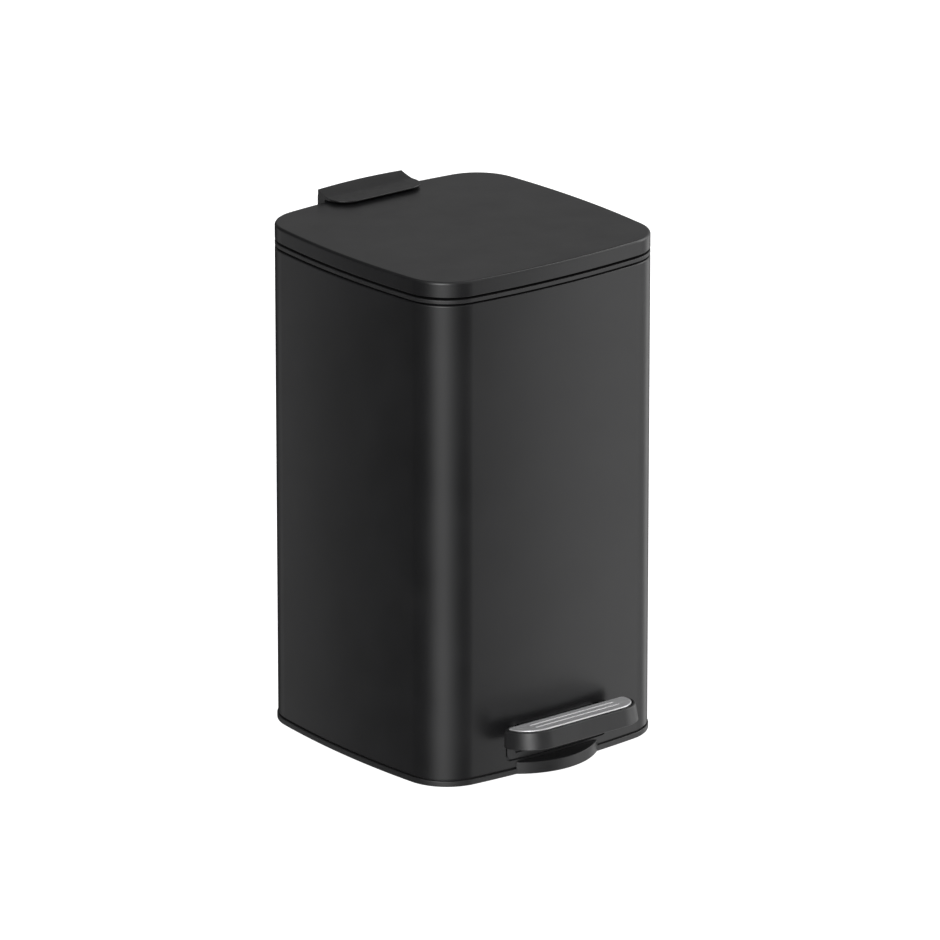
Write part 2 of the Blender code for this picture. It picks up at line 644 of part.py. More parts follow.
def make_liner():
    """The plate that closes the lid from below: a wall up inside the skin, and a groove for the seal."""
    liner = place(slab(-5 * MM, 388.3 * MM, 390.2 * MM), "lid_liner", BLACK_PLASTIC, lid_axis)
    join(liner, swept(band(-6.8 * MM, -5 * MM, 389 * MM, 399 * MM), close=True))
    groove = band(SEAL_INNER - 0.4 * MM, SEAL_OUTER + 0.4 * MM, 387 * MM, 389.3 * MM)
    cut(liner, swept(groove, close=True))
    cut(liner, box((-26 * MM, 26 * MM), (106 * MM, 113 * MM), (390.5 * MM, 400 * MM)))


def make_seal():
    section = band(SEAL_INNER, SEAL_OUTER, 386.6 * MM, 389 * MM)
    place(swept(section, close=True), "lid_seal", RUBBER, lid_axis)


def make_bumpers():
    for depth, y in (("front", -BUMPER_Y), ("rear", BUMPER_Y)):
        for side, sign in SIDES:
            disc = rod("z", 386.4 * MM, 388 * MM, (sign * BUMPER_X, y), 2.4 * MM, 16)
            place(disc, f"lid_bumper_{depth}_{side}", RUBBER, lid_axis)


def make_hinge_cover():
    """The tab over the lid's rear edge: a low lip forward, a bowed crest, and two knuckles on the pin."""
    side_view = [
        (TAB_FRONT_Y, 402.8 * MM),
        (TAB_FRONT_Y, 403.7 * MM),
        (TAB_FRONT_Y + 1 * MM, 404.6 * MM),
        (112.5 * MM, 404.6 * MM),
        (118 * MM, 405.3 * MM),
        (122.5 * MM, 406.2 * MM),
        (126.5 * MM, TAB_CREST),
        (127.1 * MM, TAB_CREST - 0.3 * MM),
        (127.1 * MM, 404.6 * MM),
        (TAB_REAR_Y, 400.8 * MM),
        (TAB_REAR_Y, TAB_BOTTOM),
        (116.5 * MM, TAB_BOTTOM),
        (116.5 * MM, 402.8 * MM),
    ]
    tab = place(upright(side_view, -50 * MM, 50 * MM), "hinge_cover", BLACK_PLASTIC, lid_axis)
    bow, corner = 520 * MM, 10.5 * MM
    spread = asin(TAB_HALF_WIDTH / bow)
    plan = arc(0, TAB_REAR_Y - bow, bow, pi / 2 - spread, pi / 2 + spread, 8)
    plan += arc(-TAB_HALF_WIDTH + corner, TAB_FRONT_Y + corner, corner, pi, 1.5 * pi, 6)
    plan += arc(TAB_HALF_WIDTH - corner, TAB_FRONT_Y + corner, corner, 1.5 * pi, 2 * pi, 6)
    combine(tab, "INTERSECT", prism(plan, 380 * MM, 412 * MM))
    cut(tab, box((-30 * MM, 30 * MM), (120.5 * MM, 128 * MM), (380 * MM, 402 * MM)))
    for _, sign in SIDES:
        knuckle = [(117.2 * MM, 388 * MM)]
        knuckle += arc(HINGE_Y, HINGE_Z, 4.8 * MM, pi, 2 * pi, 10)
        knuckle += [(128 * MM, 388 * MM)]
        join(tab, upright(knuckle, *mirrored_span(sign, KNUCKLE_INNER, KNUCKLE_OUTER)))
    cut(tab, rod("x", -TAB_HALF_WIDTH, TAB_HALF_WIDTH, (HINGE_Y, HINGE_Z), HINGE_PIN_RADIUS + GAP))
    cut(tab, *across_pair(COVER_SCREW_X, COVER_SCREW_Z, 115 * MM, 122 * MM, 1.9 * MM))


def make_crank():
    """A steel plate on the hinge pin: one arm carries the crank pin, the leg is held in the tab's pocket."""
    pin_y = HINGE_Y + CRANK_RADIUS * cos(pi + CRANK_REST_ANGLE)
    outline = arc(pin_y, YOKE_Z, 4 * MM, radians(130), radians(310), 8)
    outline += arc(HINGE_Y, HINGE_Z, 5.2 * MM, radians(310), radians(360), 4)
    outline += [(126.2 * MM, 383 * MM), (126.2 * MM, 401 * MM), (121 * MM, 401 * MM), (121 * MM, 386 * MM)]
    outline += [(117.5 * MM, 381.5 * MM)]
    crank = place(upright(outline, 4.6 * MM, 7.6 * MM), "lid_crank", ZINC_STEEL, lid_axis)
    cut(crank, rod("x", 0, 9 * MM, (HINGE_Y, HINGE_Z), HINGE_PIN_RADIUS + GAP))
    cut(crank, rod("x", 0, 9 * MM, (pin_y, YOKE_Z), CRANK_PIN_RADIUS + 0.15 * MM))
    shank = rod("x", -3 * MM, 8.5 * MM, (pin_y, YOKE_Z), CRANK_PIN_RADIUS)
    pin = place(shank, "crank_pin", ZINC_STEEL, lid_axis)
    join(pin, rod("x", -3.6 * MM, -2.1 * MM, (pin_y, YOKE_Z), 3.2 * MM))


make_shell()
make_collar()
make_base()
make_feet()
make_slot_frame()
make_bucket()
make_hinge_housing()
make_rear_screws("housing_screw", HOUSING_SCREW_X, HOUSING_SCREW_Z, 112.3 * MM, 119 * MM, body_axis)
make_rod_guides()
make_guide_rivets()
make_axle()
make_hinge_pin()
make_cover()
make_insert()
make_lever()
make_pedal_screws()
make_bushes()
make_push_rod()
make_yoke()
make_lid()
make_liner()
make_seal()
make_bumpers()
make_hinge_cover()
make_crank()
make_rear_screws("cover_screw", COVER_SCREW_X, COVER_SCREW_Z, 112.2 * MM, 120.2 * MM, lid_axis)
bpy.context.view_layer.update()
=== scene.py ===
"""Looks of the pedal trash can: detailed pieces, materials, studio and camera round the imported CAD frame."""

import json
from math import asin, atan2, cos, pi, radians, sin, sqrt

import bmesh
import bpy
from mathutils import Matrix, Vector


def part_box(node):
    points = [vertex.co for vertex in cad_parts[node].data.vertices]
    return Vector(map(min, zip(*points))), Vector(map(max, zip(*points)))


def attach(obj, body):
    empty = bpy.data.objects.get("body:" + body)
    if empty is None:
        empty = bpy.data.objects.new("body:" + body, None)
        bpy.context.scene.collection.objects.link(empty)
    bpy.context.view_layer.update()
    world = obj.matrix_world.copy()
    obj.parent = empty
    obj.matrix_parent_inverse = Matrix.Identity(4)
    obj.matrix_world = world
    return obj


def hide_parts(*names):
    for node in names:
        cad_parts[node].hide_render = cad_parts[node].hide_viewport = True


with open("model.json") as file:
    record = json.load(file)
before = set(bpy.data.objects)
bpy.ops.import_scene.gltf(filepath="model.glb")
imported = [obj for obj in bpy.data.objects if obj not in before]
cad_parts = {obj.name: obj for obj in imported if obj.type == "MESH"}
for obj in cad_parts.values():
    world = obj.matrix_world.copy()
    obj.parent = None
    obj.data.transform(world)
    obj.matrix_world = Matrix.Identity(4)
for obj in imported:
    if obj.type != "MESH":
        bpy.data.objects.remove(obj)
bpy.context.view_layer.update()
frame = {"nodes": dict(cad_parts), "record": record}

MM = 0.001
NODES = frame["nodes"]

# Plan of the bin, as in the CAD: a square with bowed sides and round corners.
shell_low, shell_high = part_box("outer_shell")
lid_low, lid_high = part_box("lid_shell")
collar_low, collar_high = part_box("rim_collar")
base_low, base_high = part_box("base_tray")
bucket_low, bucket_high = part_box("inner_bucket")
pin_low, pin_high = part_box("hinge_pin")
tab_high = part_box("hinge_cover")[1]
frame_low, frame_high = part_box("pedal_slot_frame")
axle_low, axle_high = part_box("pedal_axle")
rod_low, rod_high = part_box("push_rod")
crank_pin_low, crank_pin_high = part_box("crank_pin")

HALF_WIDTH = (shell_high.x - shell_low.x) / 2
BODY_Y = (shell_high.y + shell_low.y) / 2
CORNER_RADIUS = 37.3 * MM
SIDE_RADIUS = 715 * MM
CORNER_STEPS = 24
SIDE_STEPS = 20
GAP = 0.3 * MM
SLOT_BORDER = 1.4 * MM
SLOT_CUT = (-125 * MM, -100 * MM)

# Places of fasteners and feet from the bin's axis, in mm: each is used by the piece and by its hole.
HOUSING_SCREW_X, HOUSING_SCREW_Z = 20, 350
COVER_SCREW_X, COVER_SCREW_Z = 22, 393.6
RIVET_X = 9
RIVET_LEVELS = {"lower": 80, "upper": 230}
FOOT_PLACE = 82

HINGE = Vector((0, (pin_low.y + pin_high.y) / 2, (pin_low.z + pin_high.z) / 2))
PIVOT = Vector((0, (axle_low.y + axle_high.y) / 2, (axle_low.z + axle_high.z) / 2))
ROD_Y = (rod_low.y + rod_high.y) / 2
CRANK_PIN = Vector((0, (crank_pin_low.y + crank_pin_high.y) / 2, (crank_pin_low.z + crank_pin_high.z) / 2))

# Pedal in the lever's frame, whose origin is the pivot: the front is tilted up by PEDAL_TILT.
PEDAL_TILT = radians(6.4)
PLATE_HALF_LENGTH = 57 * MM
PLATE_FRONT = -139.4 * MM
PLATE_REAR = -113.4 * MM
PLATE_TOP = 8.6 * MM
PLATE_FRONT_RADIUS = 22 * MM
PLATE_REAR_RADIUS = 4 * MM
COVER_RIM = 2.6 * MM
COVER_FLARE = 1.3 * MM
COVER_HEIGHT = 14.5 * MM
LEVER_TOP = 5.1 * MM
PEDAL_MATRIX = Matrix.Translation(PIVOT) @ Matrix.Rotation(-PEDAL_TILT, 4, "X")
BODY_MATRIX = Matrix.Translation((0, BODY_Y, 0))


# ---------------------------------------------------------------- materials


class Shader:
    """A material under construction: its node tree, its Principled node and short ways to add nodes."""

    def __init__(self, name):
        self.material = bpy.data.materials.new(name)
        self.material.use_nodes = True
        self.tree = self.material.node_tree
        self.surface = self.tree.nodes["Principled BSDF"]
        self.coordinates = self.node("ShaderNodeTexCoord").outputs["Object"]

    def node(self, kind, **settings):
        made = self.tree.nodes.new(kind)
        for key, value in settings.items():
            setattr(made, key, value)
        return made

    def link(self, source, target):
        self.tree.links.new(source, target)

    def noise(self, scale, detail=3.0, stretch=(1, 1, 1), roughness=0.5):
        mapping = self.node("ShaderNodeMapping")
        mapping.inputs["Scale"].default_value = stretch
        self.link(self.coordinates, mapping.inputs["Vector"])
        made = self.node("ShaderNodeTexNoise")
        made.inputs["Scale"].default_value = scale
        made.inputs["Detail"].default_value = detail
        made.inputs["Roughness"].default_value = roughness
        self.link(mapping.outputs["Vector"], made.inputs["Vector"])
        return made.outputs["Fac"]

    def spread(self, source, low, high):
        made = self.node("ShaderNodeMapRange")
        made.inputs["From Min"].default_value = 0.3
        made.inputs["From Max"].default_value = 0.7
        made.inputs["To Min"].default_value = low
        made.inputs["To Max"].default_value = high
        self.link(source, made.inputs["Value"])
        return made.outputs["Result"]

    def shades(self, source, dark, light):
        ramp = self.node("ShaderNodeValToRGB")
        ramp.color_ramp.elements[0].position = 0.3
        ramp.color_ramp.elements[0].color = (*dark, 1)
        ramp.color_ramp.elements[1].position = 0.7
        ramp.color_ramp.elements[1].color = (*light, 1)
        self.link(source, ramp.inputs["Fac"])
        return ramp.outputs["Color"]

    def bump(self, heights):
        """Chains bumps of (height source, distance in metres)."""
        normal = None
        for source, distance in heights:
            made = self.node("ShaderNodeBump")
            made.inputs["Strength"].default_value = 1.0
            made.inputs["Distance"].default_value = distance
            self.link(source, made.inputs["Height"])
            if normal:
                self.link(normal, made.inputs["Normal"])
            normal = made.outputs["Normal"]
        self.link(normal, self.surface.inputs["Normal"])

    def set(self, **values):
        for key, value in values.items():
            self.surface.inputs[key.replace("_", " ")].default_value = value


def painted_steel():
    """Satin black powder coat: a faint orange peel over a slight wander in gloss."""
    s = Shader("satin_black_steel")
    tone = s.shades(s.noise(18, 2), (0.0067, 0.0067, 0.0071), (0.0085, 0.0085, 0.009))
    s.link(tone, s.surface.inputs["Base Color"])
    s.link(s.spread(s.noise(35, 4), 0.30, 0.345), s.surface.inputs["Roughness"])
    s.bump([(s.noise(420, 2), 0.000012), (s.noise(2600, 1), 0.000004)])
    return s.material


def moulded_plastic(name, dark, light, rough_low, rough_high, grain=1800, depth=0.00001):
    """Moulded plastic with the fine grain of an etched mould."""
    s = Shader(name)
    s.link(s.shades(s.noise(60, 3), dark, light), s.surface.inputs["Base Color"])
    s.link(s.spread(s.noise(140, 3), rough_low, rough_high), s.surface.inputs["Roughness"])
    s.bump([(s.noise(grain, 2), depth)])
    return s.material


def brushed_steel():
    """Stainless steel brushed along X: long fine scratches in height, gloss and tone."""
    s = Shader("brushed_steel")
    lines = s.noise(2600, 3, (0.012, 1, 1), 0.65)
    broad = s.noise(420, 2, (0.02, 1, 1))
    s.link(s.shades(broad, (0.6, 0.6, 0.61), (0.7, 0.7, 0.71)), s.surface.inputs["Base Color"])
    s.link(s.spread(lines, 0.36, 0.52), s.surface.inputs["Roughness"])
    s.bump([(lines, 0.000009)])
    s.set(Metallic=0.65)
    return s.material


def zinc_steel():
    """Zinc plate: bright but slightly cloudy, with a fine drawn grain."""
    s = Shader("zinc_plated_steel")
    cloud = s.noise(90, 5)
    s.link(s.shades(cloud, (0.42, 0.43, 0.45), (0.58, 0.59, 0.6)), s.surface.inputs["Base Color"])
    s.link(s.spread(s.noise(240, 4), 0.26, 0.46), s.surface.inputs["Roughness"])
    s.bump([(s.noise(900, 3), 0.000008)])
    s.set(Metallic=1.0)
    return s.material


def rubber():
    s = Shader("black_rubber")
    tone = s.shades(s.noise(150, 4), (0.012, 0.012, 0.012), (0.022, 0.022, 0.021))
    s.link(tone, s.surface.inputs["Base Color"])
    s.link(s.spread(s.noise(300, 3), 0.62, 0.82), s.surface.inputs["Roughness"])
    s.bump([(s.noise(1500, 3), 0.00002)])
    return s.material


def nylon():
    """Natural nylon: milky, with a little light carried inside."""
    s = Shader("natural_nylon")
    s.link(s.shades(s.noise(70, 3), (0.62, 0.59, 0.52), (0.7, 0.67, 0.6)), s.surface.inputs["Base Color"])
    s.link(s.spread(s.noise(200, 3), 0.38, 0.52), s.surface.inputs["Roughness"])
    s.bump([(s.noise(1200, 2), 0.00001)])
    s.set(Subsurface_Weight=0.15, Subsurface_Scale=0.002)
    return s.material


SATIN = painted_steel()
PLASTIC = moulded_plastic("black_plastic", (0.0105, 0.0105, 0.011), (0.0135, 0.0135, 0.014), 0.36, 0.44)
BUCKET_PLASTIC = moulded_plastic("grey_plastic", (0.13, 0.13, 0.138), (0.16, 0.16, 0.168), 0.42, 0.52,
                                 grain=1200, depth=0.000012)
BRUSHED = brushed_steel()
ZINC = zinc_steel()
RUBBER = rubber()
NYLON = nylon()
SLOT_OF = {
    SATIN: "satin_black_steel",
    PLASTIC: "black_plastic",
    BUCKET_PLASTIC: "grey_plastic",
    BRUSHED: "brushed_steel",
    ZINC: "zinc_plated_steel",
    RUBBER: "black_rubber",
    NYLON: "natural_nylon",
}
LOOK_OF = {slot: look for look, slot in SLOT_OF.items()}


# ---------------------------------------------------------------- shapes


def as_mesh(bm, outward=True):
    if outward:
        bmesh.ops.recalc_face_normals(bm, faces=bm.faces[:])
    mesh = bpy.data.meshes.new("shape")
    bm.to_mesh(mesh)
    bm.free()
    return mesh


def arc(centre_x, centre_y, radius, start, end, steps):
    angles = [start + (end - start) * step / steps for step in range(steps + 1)]
    return [(centre_x + radius * cos(angle), centre_y + radius * sin(angle)) for angle in angles]


def bin_outline(offset):
    """The bin's plan at an offset: four bowed sides joined by four round corners."""
    bow = SIDE_RADIUS - HALF_WIDTH
    centre = (sqrt(2 * (SIDE_RADIUS - CORNER_RADIUS) ** 2 - bow**2) - bow) / 2
    meet = atan2(centre, centre + bow)
    quarter = arc(-bow, 0, SIDE_RADIUS + offset, -meet, meet, SIDE_STEPS)[:-1]
    quarter += arc(centre, centre, CORNER_RADIUS + offset, meet, pi / 2 - meet, CORNER_STEPS)[:-1]
    return [Matrix.Rotation(turn * pi / 2, 2) @ Vector(point) for turn in range(4) for point in quarter]


def lofted(loops, caps=(True, True), closed=False):
    """A skin through loops of 3-D points, with end caps or closed on itself."""
    bm = bmesh.new()
    rings = [[bm.verts.new(point) for point in loop] for loop in loops]
    pairs = list(zip(rings, rings[1:]))
    if closed:
        pairs.append((rings[-1], rings[0]))
    for lower, upper in pairs:
        for index in range(len(lower)):
            bm.faces.new((lower[index - 1], lower[index], upper[index], upper[index - 1]))
    if not closed:
        for ring, cap in zip((rings[0], rings[-1]), caps):
            if cap:
                bm.faces.new(ring)
    return as_mesh(bm)


def swept(section, closed=True):
    """The bin's outline carried through a section of (offset, z) points, in mm."""
    loops = []
    for offset, z in section:
        loops.append([(x, y, z * MM) for x, y in bin_outline(offset * MM)])
    return lofted(loops, closed=closed)


def fillet(centre, radius, start, end, steps=4):
    """Section points of a round edge, in mm: an arc about its centre, angles in degrees from outward."""
    return arc(centre[0], centre[1], radius, radians(start), radians(end), steps)


def prism(points, low, high):
    loops = [[(x, y, low) for x, y in points], [(x, y, high) for x, y in points]]
    return lofted(loops)


def turned_round(mesh, columns):
    mesh.transform(Matrix([[*row, 0] for row in columns] + [[0, 0, 0, 1]]))
    bm = bmesh.new()
    bm.from_mesh(mesh)
    return as_mesh(bm)


def upright(points, left, right):
    """A solid across X from a side view of (y, z) points."""
    return turned_round(prism(points, left, right), ((0, 0, 1), (1, 0, 0), (0, 1, 0)))


def fronted(points, near, far):
    """A solid along Y from a front view of (x, z) points."""
    return turned_round(prism(points, -far, -near), ((1, 0, 0), (0, 0, -1), (0, 1, 0)))


def box_mesh(x_span, y_span, z_span):
    points = [(x_span[0], y_span[0]), (x_span[1], y_span[0]), (x_span[1], y_span[1]), (x_span[0], y_span[1])]
    return prism(points, *z_span)


def lathe(profile, axis, across, steps=48):
    """A turned solid: (radius, place along the axis) points in mm, about an axis through a point."""
    loops = []
    for radius, along in profile:
        circle = arc(0, 0, max(radius, 0.001) * MM, 0, 2 * pi, steps)[:-1]
        loops.append([(x, y, along * MM) for x, y in circle])
    mesh = lofted(loops)
    turns = {"x": Matrix.Rotation(pi / 2, 4, "Y"), "y": Matrix.Rotation(-pi / 2, 4, "X"), "z": Matrix()}
    mesh.transform(Matrix.Translation(across) @ turns[axis])
    return mesh


def round_box_plan(x_span, y_span, radius, steps=10):
    (x0, x1), (y0, y1) = x_span, y_span
    points = arc(x1 - radius, y1 - radius, radius, 0, pi / 2, steps)
    points += arc(x0 + radius, y1 - radius, radius, pi / 2, pi, steps)
    points += arc(x0 + radius, y0 + radius, radius, pi, 3 * pi / 2, steps)
    points += arc(x1 - radius, y0 + radius, radius, 3 * pi / 2, 2 * pi, steps)
    return points


def piece(mesh, name, look, body, stands_for, matrix=BODY_MATRIX, edge=0.0, segments=3, cuts=(), joins=()):
    """Makes a shown piece: Booleans, rounded edges, smooth shading, body, slot and the node it replaces."""
    mesh.transform(matrix)
    mesh.materials.append(look)
    obj = bpy.data.objects.new(name, mesh)
    bpy.context.scene.collection.objects.link(obj)
    tools = []
    for operation, meshes in (("UNION", joins), ("DIFFERENCE", cuts)):
        for tool_mesh in meshes:
            tool_mesh.transform(matrix)
            tool_mesh.materials.append(look)
            tool = bpy.data.objects.new(name + "_tool", tool_mesh)
            bpy.context.scene.collection.objects.link(tool)
            modifier = obj.modifiers.new(operation, "BOOLEAN")
            modifier.operation = operation
            modifier.object = tool
            tools.append(tool)
    if edge:
        modifier = obj.modifiers.new("edges", "BEVEL")
        modifier.width = edge * MM
        modifier.segments = segments
        modifier.limit_method = "ANGLE"
        modifier.angle_limit = radians(35)
        modifier.use_clamp_overlap = True
    bpy.context.view_layer.update()
    done = bpy.data.meshes.new_from_object(obj.evaluated_get(bpy.context.evaluated_depsgraph_get()))
    obj.modifiers.clear()
    obj.data = done
    done.name = name
    for tool in tools:
        bpy.data.objects.remove(tool)
    done.shade_smooth()
    done.set_sharp_from_angle(angle=radians(32))
    weighted = obj.modifiers.new("normals", "WEIGHTED_NORMAL")
    weighted.keep_sharp = True
    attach(obj, body)
    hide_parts(*stands_for)
    return obj


# ---------------------------------------------------------------- shell, lid, collar, base


def body_y(y):
    """A y of the shared frame as a distance from the bin's own axis."""
    return y - BODY_Y


def slot_plan(margin):
    """The slot's outline from the front. Its top is hidden by the pedal, so the margin hardly raises it."""
    half = (frame_high.x - frame_low.x) / 2 + margin
    return round_box_plan((-half, half), (frame_low.z - margin, frame_high.z + min(margin, GAP)), 5 * MM)


def make_shell():
    low, high = shell_low.z / MM, shell_high.z / MM
    section = [(-0.1, low), (0, low + 0.15)]
    section += fillet((-1.0, high - 1.0), 1.0, 0, 90, 6)
    section += [(-4.2, high), (-4.4, high - 0.2), (-4.2, high - 0.5), (-1.4, high - 0.6), (-0.8, high - 0.8)]
    section += [(-0.6, high - 1.4), (-0.6, low + 0.15), (-0.5, low)]
    cuts = [
        fronted(slot_plan(SLOT_BORDER), *SLOT_CUT),
        box_mesh((-9 * MM, 9 * MM), (105 * MM, 120 * MM), (358 * MM, 390 * MM)),
    ]
    for x in (-HOUSING_SCREW_X, HOUSING_SCREW_X):
        cuts.append(lathe([(2.1, 110), (2.1, 120)], "y", (x * MM, 0, HOUSING_SCREW_Z * MM), 24))
    for z in RIVET_LEVELS.values():
        for x in (-RIVET_X, RIVET_X):
            cuts.append(lathe([(1.8, 110), (1.8, 120)], "y", (x * MM, 0, z * MM), 24))
    return piece(swept(section), "shell_outer", SATIN, "bin_body", ["outer_shell"], cuts=cuts)


def make_lid():
    low, high = lid_low.z / MM, lid_high.z / MM
    edge = 2.1
    section = [(-30, high), (-20, high), (-7, high)]
    section += fillet((-edge, high - edge), edge, 90, 0, 10)
    section += [(0, low + 0.6)] + fillet((-0.5, low + 0.5), 0.5, 0, -90, 3)
    section += [(-3.4, low), (-3.6, low + 0.2), (-3.4, low + 0.5), (-0.9, low + 0.6)]
    section += [(-0.6, low + 0.9)] + fillet((-edge, high - edge), edge - 0.6, 0, 90, 6)
    section += [(-7, high - 0.6), (-20, high - 0.6), (-30, high - 0.6)]
    cuts = []
    for x in (-COVER_SCREW_X, COVER_SCREW_X):
        cuts.append(lathe([(1.9, 110), (1.9, 120)], "y", (x * MM, 0, COVER_SCREW_Z * MM), 24))
    return piece(swept(section, closed=False), "lid_skin", SATIN, "lid", ["lid_shell"], cuts=cuts)


def make_collar():
    low, high = 383.0, collar_high.z / MM
    shelf, web = 383.9, 381.9
    section = fillet((-0.4, low + 0.4), 0.4, -90, 0, 3) + fillet((-0.5, high - 0.5), 0.5, 0, 90, 4)
    section += [(-8.7, high), (-9, high - 0.3), (-9, shelf + 0.4), (-9.4, shelf), (-18.1, shelf)]
    section += fillet((-18.1, shelf - 0.4), 0.4, 90, 180, 3)
    section += [(-18.5, web), (-7, web), (-7, collar_low.z / MM), (-5.3, collar_low.z / MM), (-5.3, web)]
    section += [(-3.6, web), (-3.6, low)]
    notch = box_mesh((-9 * MM, 9 * MM), (100.9 * MM, 120 * MM), (360 * MM, 390 * MM))
    return piece(swept(section), "collar_rim", PLASTIC, "bin_body", ["rim_collar"], cuts=[notch])


def nose_plan(margin):
    half, radius, front = 40 * MM, 62.8 * MM, -129.4 * MM
    spread = asin((half + margin) / (radius + margin))
    points = [(-half - margin, -104 * MM)]
    points += arc(0, front + radius, radius + margin, 1.5 * pi - spread, 1.5 * pi + spread, 40)
    return points + [(half + margin, -104 * MM)]


def make_base():
    low, ring, top, floor = base_low.z / MM, 5.2, 20.0, 3.6
    section = [(-30, low), (-2.0, low), (-0.2, low + 0.1)]
    section += fillet((0.0, low + 0.9), 0.8, -80, 0, 4) + fillet((0.2, ring - 0.6), 0.6, 0, 90, 4)
    section += [(-1.6, ring), (-1.6, top - 0.4), (-2, top), (-2.8, top), (-3.2, top - 0.4), (-3.2, floor + 1)]
    section += [(-4.2, floor), (-30, floor)]
    nose_top, edge = 10.2 * MM, 0.7 * MM
    loops = [[(x, y, low * MM) for x, y in nose_plan(-0.6 * MM)]]
    loops.append([(x, y, low * MM + 0.6 * MM) for x, y in nose_plan(0)])
    for turn in range(5):
        angle = turn * pi / 8
        inset = edge * (1 - cos(angle))
        loops.append([(x, y, nose_top - edge + edge * sin(angle)) for x, y in nose_plan(-inset)])
    nose = lofted(loops)
    ears = []
    for inner, outer in ((-19 * MM, -15 * MM), (15 * MM, 19 * MM)):
        ear = [(-24 * MM, 3 * MM)] + arc(body_y(PIVOT.y), PIVOT.z, 7 * MM, pi, 0, 24) + [(0, 3 * MM)]
        ears.append(upright(ear, inner, outer))
    clear = swept([(0.3, ring), (0.3, 12)], closed=False)
    hollow = swept([(-3.2, floor + 1), (-3.2, 22)], closed=False)
    sockets = []
    for x in (-FOOT_PLACE, FOOT_PLACE):
        for y in (-FOOT_PLACE, FOOT_PLACE):
            sockets.append(lathe([(8.3, -1), (8.3, 2.2)], "z", (x * MM, y * MM, 0)))
    sockets.append(lathe([(3.3, -21), (3.3, 21)], "x", (0, body_y(PIVOT.y), PIVOT.z)))
    # The nose stays clear of the shell above the ring, so it is trimmed before it joins the tray.
    nose_obj = bpy.data.objects.new("nose_tool", nose)
    bpy.context.scene.collection.objects.link(nose_obj)
    trims = []
    for mesh in (clear, hollow):
        trim = bpy.data.objects.new("trim_tool", mesh)
        bpy.context.scene.collection.objects.link(trim)
        modifier = nose_obj.modifiers.new("trim", "BOOLEAN")
        modifier.operation = "DIFFERENCE"
        modifier.object = trim
        trims.append(trim)
    bpy.context.view_layer.update()
    trimmed = bpy.data.meshes.new_from_object(nose_obj.evaluated_get(bpy.context.evaluated_depsgraph_get()))
    for spare in (nose_obj, *trims):
        bpy.data.objects.remove(spare)
    return piece(swept(section, closed=False), "base_moulding", PLASTIC, "bin_body", ["base_tray"],
                 joins=[trimmed, *ears], cuts=sockets)


def make_slot_frame():
    """The frame lines the slot below and at both sides: its opening runs out through its top."""
    ring = [(-0.15, 5), (-0.15, 60), (-3, 60), (-3, 5)]
    mesh = swept(ring)
    half = (frame_high.x - frame_low.x) / 2
    outside = fronted(slot_plan(0), *SLOT_CUT)
    keep = bpy.data.objects.new("keep_tool", outside)
    base = bpy.data.objects.new("ring_tool", mesh)
    for obj in (keep, base):
        bpy.context.scene.collection.objects.link(obj)
    modifier = base.modifiers.new("keep", "BOOLEAN")
    modifier.operation = "INTERSECT"
    modifier.object = keep
    bpy.context.view_layer.update()
    trimmed = bpy.data.meshes.new_from_object(base.evaluated_get(bpy.context.evaluated_depsgraph_get()))
    for obj in (keep, base):
        bpy.data.objects.remove(obj)
    inner = half - 7 * MM
    opening = round_box_plan((-inner, inner), (frame_low.z + 4.1 * MM, frame_high.z + 8 * MM), 2 * MM)
    cuts = [fronted(opening, *SLOT_CUT), swept([(-1.3, 4), (-1.3, 20.3)], closed=False)]
    return piece(trimmed, "slot_surround", PLASTIC, "bin_body", ["pedal_slot_frame"], cuts=cuts, edge=0.3)


# ---------------------------------------------------------------- pedal


def pedal_plan(margin, steps=14):
    """The pedal from above: straight rear edge, front corners of large radius."""
    front, rear = PLATE_FRONT - margin, PLATE_REAR + margin
    half, big, small = PLATE_HALF_LENGTH + margin, PLATE_FRONT_RADIUS + margin, PLATE_REAR_RADIUS + margin
    points = arc(half - small, rear - small, small, 0, pi / 2, steps)
    points += arc(-half + small, rear - small, small, pi / 2, pi, steps)
    points += arc(-half + big, front + big, big, pi, 1.5 * pi, 2 * steps)
    points += arc(half - big, front + big, big, 1.5 * pi, 2 * pi, 2 * steps)
    return points


def pedal_loops(section):
    """Loops of the pedal's plan through (margin, height) points in mm."""
    return [[(x, y, z * MM) for x, y in pedal_plan(margin * MM)] for margin, z in section]


def make_pedal_cover():
    plate = PLATE_TOP / MM
    top, bottom = plate - 1.1, (PLATE_TOP - COVER_HEIGHT) / MM
    rim, flare = COVER_RIM / MM, COVER_FLARE / MM
    section = [(rim + flare - 0.4, bottom), (rim + flare, bottom + 0.4)]
    section += fillet((rim - 1.1, top - 1.1), 1.1, 5, 90, 7)
    section += [(0.7, top)]
    mesh = lofted(pedal_loops(section))
    hollow = lofted(pedal_loops([(0.9, bottom - 1), (0.6, LEVER_TOP / MM + 0.3)]))
    recess = lofted(pedal_loops([(0.5, plate - 1.25), (0.5, top + 3)]))
    groove_low, groove_high = plate - 2.3, plate - 1.1
    groove_section = [(0.5, groove_low), (0.5, groove_high), (-1.8, groove_high), (-1.8, groove_low)]
    groove = lofted(pedal_loops(groove_section), closed=True)
    throat = box_mesh((-37.4 * MM, 37.4 * MM), (PLATE_REAR - 3 * MM, PLATE_REAR + 8 * MM),
                      (bottom * MM - 1 * MM, LEVER_TOP + GAP))
    middle = (PLATE_FRONT + PLATE_REAR) / 2
    holes = [lathe([(1.8, 3), (1.8, 7)], "z", (x * MM, middle, 0), 24) for x in (-30, 30)]
    return piece(mesh, "pedal_body", PLASTIC, "pedal", ["pedal_cover"], PEDAL_MATRIX,
                 cuts=[hollow, recess, groove, throat, *holes])


